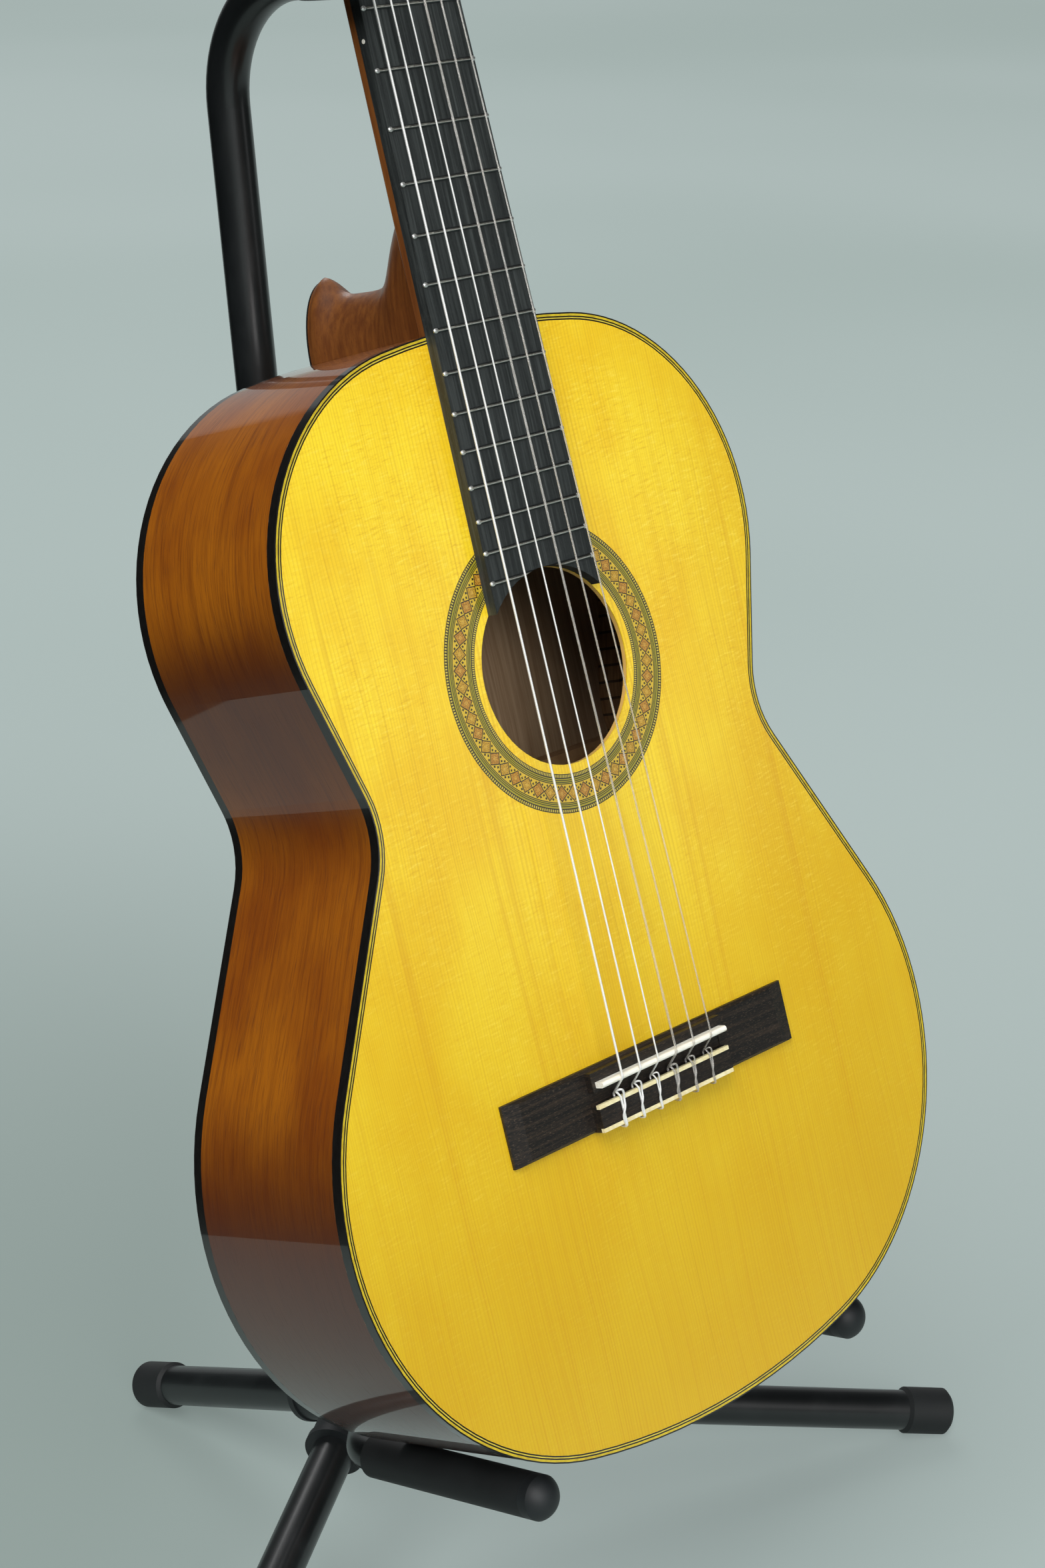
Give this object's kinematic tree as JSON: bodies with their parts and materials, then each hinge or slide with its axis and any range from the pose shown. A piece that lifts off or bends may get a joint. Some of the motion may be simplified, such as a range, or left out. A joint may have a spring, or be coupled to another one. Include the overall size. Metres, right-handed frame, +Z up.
{
  "type": "guitar on stand",
  "caption": "Nylon-string classical guitar with worm-geared tuners leaning on a black tubular tripod stand with a sleeved cradle, neck yoke and height clamp.",
  "frame": {"origin": "middle of the footprint of the whole piece, at floor level", "axes": "+Z up, the soundboard faces -Y and leans back, +X towards the treble side"},
  "size_m": [0.5872, 0.4249, 1.1156],
  "materials": {
    "spruce": "gloss",
    "mahogany": "gloss",
    "cedar_neck": "satin",
    "dark_wood": "satin",
    "inner_wood": "matt",
    "binding": "gloss",
    "inlay": "gloss",
    "bone": "satin",
    "nickel": "polished",
    "wound_string": "wound",
    "nylon_string": "gloss",
    "button": "pearl",
    "black_tube": "semi-gloss black",
    "black_plastic": "satin",
    "black_rubber": "matt",
    "screw_steel": "satin"
  },
  "bodies": {
    "stand_base": {"cradle_bracket": "black_tube", "cradle_caps": "black_plastic", "cradle_fork": "black_tube", "cradle_sleeves": "black_rubber", "height_clamp_collar": "black_plastic", "left_foot": "black_rubber", "left_leg_tube": "black_tube", "leg_screws": "screw_steel", "mast_lower_tube": "black_tube", "rear_foot": "black_rubber", "rear_leg_tube": "black_tube", "right_foot": "black_rubber", "right_leg_tube": "black_tube", "tripod_hub": "black_plastic"},
    "upper_mast": {"mast_upper_tube": "black_tube", "neck_yoke": "black_tube", "yoke_sleeve": "black_rubber", "yoke_caps": "black_plastic"},
    "clamp_knob": {"height_clamp_knob": "black_plastic"},
    "guitar": {"back_binding": "binding", "back_braces": "inner_wood", "back_lining": "inner_wood", "back_plate": "mahogany", "bass_rib": "mahogany", "bass_strings": "wound_string", "bridge": "dark_wood", "fan_braces": "inner_wood", "fretboard": "dark_wood", "frets": "nickel", "harmonic_bars": "inner_wood", "head_veneer": "dark_wood", "headstock": "cedar_neck", "heel_cap": "cedar_neck", "neck": "cedar_neck", "neck_block": "inner_wood", "nut": "bone", "rosette": "inlay", "saddle": "bone", "soundboard": "spruce", "tail_block": "inner_wood", "tie_block_inlays": "bone", "top_binding": "binding", "top_lining": "inner_wood", "treble_rib": "mahogany", "treble_strings": "nylon_string", "tuner_plate_bass": "nickel", "tuner_plate_treble": "nickel"},
    "tuner_roller_bass_1": {"tuner_roller_bass_1": "nickel"},
    "tuner_roller_bass_2": {"tuner_roller_bass_2": "nickel"},
    "tuner_roller_bass_3": {"tuner_roller_bass_3": "nickel"},
    "tuner_roller_treble_1": {"tuner_roller_treble_1": "nickel"},
    "tuner_roller_treble_2": {"tuner_roller_treble_2": "nickel"},
    "tuner_roller_treble_3": {"tuner_roller_treble_3": "nickel"},
    "tuner_shaft_bass_1": {"tuner_shaft_bass_1": "button"},
    "tuner_shaft_bass_2": {"tuner_shaft_bass_2": "button"},
    "tuner_shaft_bass_3": {"tuner_shaft_bass_3": "button"},
    "tuner_shaft_treble_1": {"tuner_shaft_treble_1": "button"},
    "tuner_shaft_treble_2": {"tuner_shaft_treble_2": "button"},
    "tuner_shaft_treble_3": {"tuner_shaft_treble_3": "button"}
  },
  "joints": [
    {"name": "mast_height", "type": "slide", "parent": "stand_base", "child": "upper_mast", "axis": [0, 0.1083, 0.9941], "range_m": [-0.095, 0]},
    {"name": "clamp_turn", "type": "hinge", "parent": "stand_base", "child": "clamp_knob", "pos_m": [0, 0.09035, 0.35334], "axis": [0, 0.9941, -0.1083], "range_deg": [-540, 0]},
    {"name": "lift_off", "type": "slide", "parent": "stand_base", "child": "guitar", "axis": [0, -0.9474, 0.32], "range_m": [0, 0.25]},
    {"name": "tuner_shaft_bass_1_turn", "type": "hinge", "parent": "guitar", "child": "tuner_shaft_bass_1", "pos_m": [-0.04165, 0.09151, 1.01021], "axis": [0, -0.8419, 0.5397], "continuous": true},
    {"name": "tuner_roller_bass_1_turn", "type": "hinge", "parent": "guitar", "child": "tuner_roller_bass_1", "pos_m": [-0.04165, 0.08654, 1.00247], "axis": [1, 0, 0], "continuous": true},
    {"name": "tuner_shaft_bass_2_turn", "type": "hinge", "parent": "guitar", "child": "tuner_shaft_bass_2", "pos_m": [-0.04165, 0.1104, 1.03968], "axis": [0, -0.8419, 0.5397], "continuous": true},
    {"name": "tuner_roller_bass_2_turn", "type": "hinge", "parent": "guitar", "child": "tuner_roller_bass_2", "pos_m": [-0.04165, 0.10543, 1.03193], "axis": [1, 0, 0], "continuous": true},
    {"name": "tuner_shaft_bass_3_turn", "type": "hinge", "parent": "guitar", "child": "tuner_shaft_bass_3", "pos_m": [-0.04165, 0.12929, 1.06914], "axis": [0, -0.8419, 0.5397], "continuous": true},
    {"name": "tuner_roller_bass_3_turn", "type": "hinge", "parent": "guitar", "child": "tuner_roller_bass_3", "pos_m": [-0.04165, 0.12432, 1.0614], "axis": [1, 0, 0], "continuous": true},
    {"name": "tuner_shaft_treble_1_turn", "type": "hinge", "parent": "guitar", "child": "tuner_shaft_treble_1", "pos_m": [0.04165, 0.09151, 1.01021], "axis": [0, -0.8419, 0.5397], "continuous": true},
    {"name": "tuner_roller_treble_1_turn", "type": "hinge", "parent": "guitar", "child": "tuner_roller_treble_1", "pos_m": [0.04165, 0.08654, 1.00247], "axis": [1, 0, 0], "continuous": true},
    {"name": "tuner_shaft_treble_2_turn", "type": "hinge", "parent": "guitar", "child": "tuner_shaft_treble_2", "pos_m": [0.04165, 0.1104, 1.03968], "axis": [0, -0.8419, 0.5397], "continuous": true},
    {"name": "tuner_roller_treble_2_turn", "type": "hinge", "parent": "guitar", "child": "tuner_roller_treble_2", "pos_m": [0.04165, 0.10543, 1.03193], "axis": [1, 0, 0], "continuous": true},
    {"name": "tuner_shaft_treble_3_turn", "type": "hinge", "parent": "guitar", "child": "tuner_shaft_treble_3", "pos_m": [0.04165, 0.12929, 1.06914], "axis": [0, -0.8419, 0.5397], "continuous": true},
    {"name": "tuner_roller_treble_3_turn", "type": "hinge", "parent": "guitar", "child": "tuner_roller_treble_3", "pos_m": [0.04165, 0.12432, 1.0614], "axis": [1, 0, 0], "continuous": true}
  ],
  "couplings": [
    {"joint": "tuner_roller_bass_1_turn", "follows": "tuner_shaft_bass_1_turn", "ratio": -0.071429},
    {"joint": "tuner_roller_bass_2_turn", "follows": "tuner_shaft_bass_2_turn", "ratio": -0.071429},
    {"joint": "tuner_roller_bass_3_turn", "follows": "tuner_shaft_bass_3_turn", "ratio": -0.071429},
    {"joint": "tuner_roller_treble_1_turn", "follows": "tuner_shaft_treble_1_turn", "ratio": -0.071429},
    {"joint": "tuner_roller_treble_2_turn", "follows": "tuner_shaft_treble_2_turn", "ratio": -0.071429},
    {"joint": "tuner_roller_treble_3_turn", "follows": "tuner_shaft_treble_3_turn", "ratio": -0.071429}
  ]
}
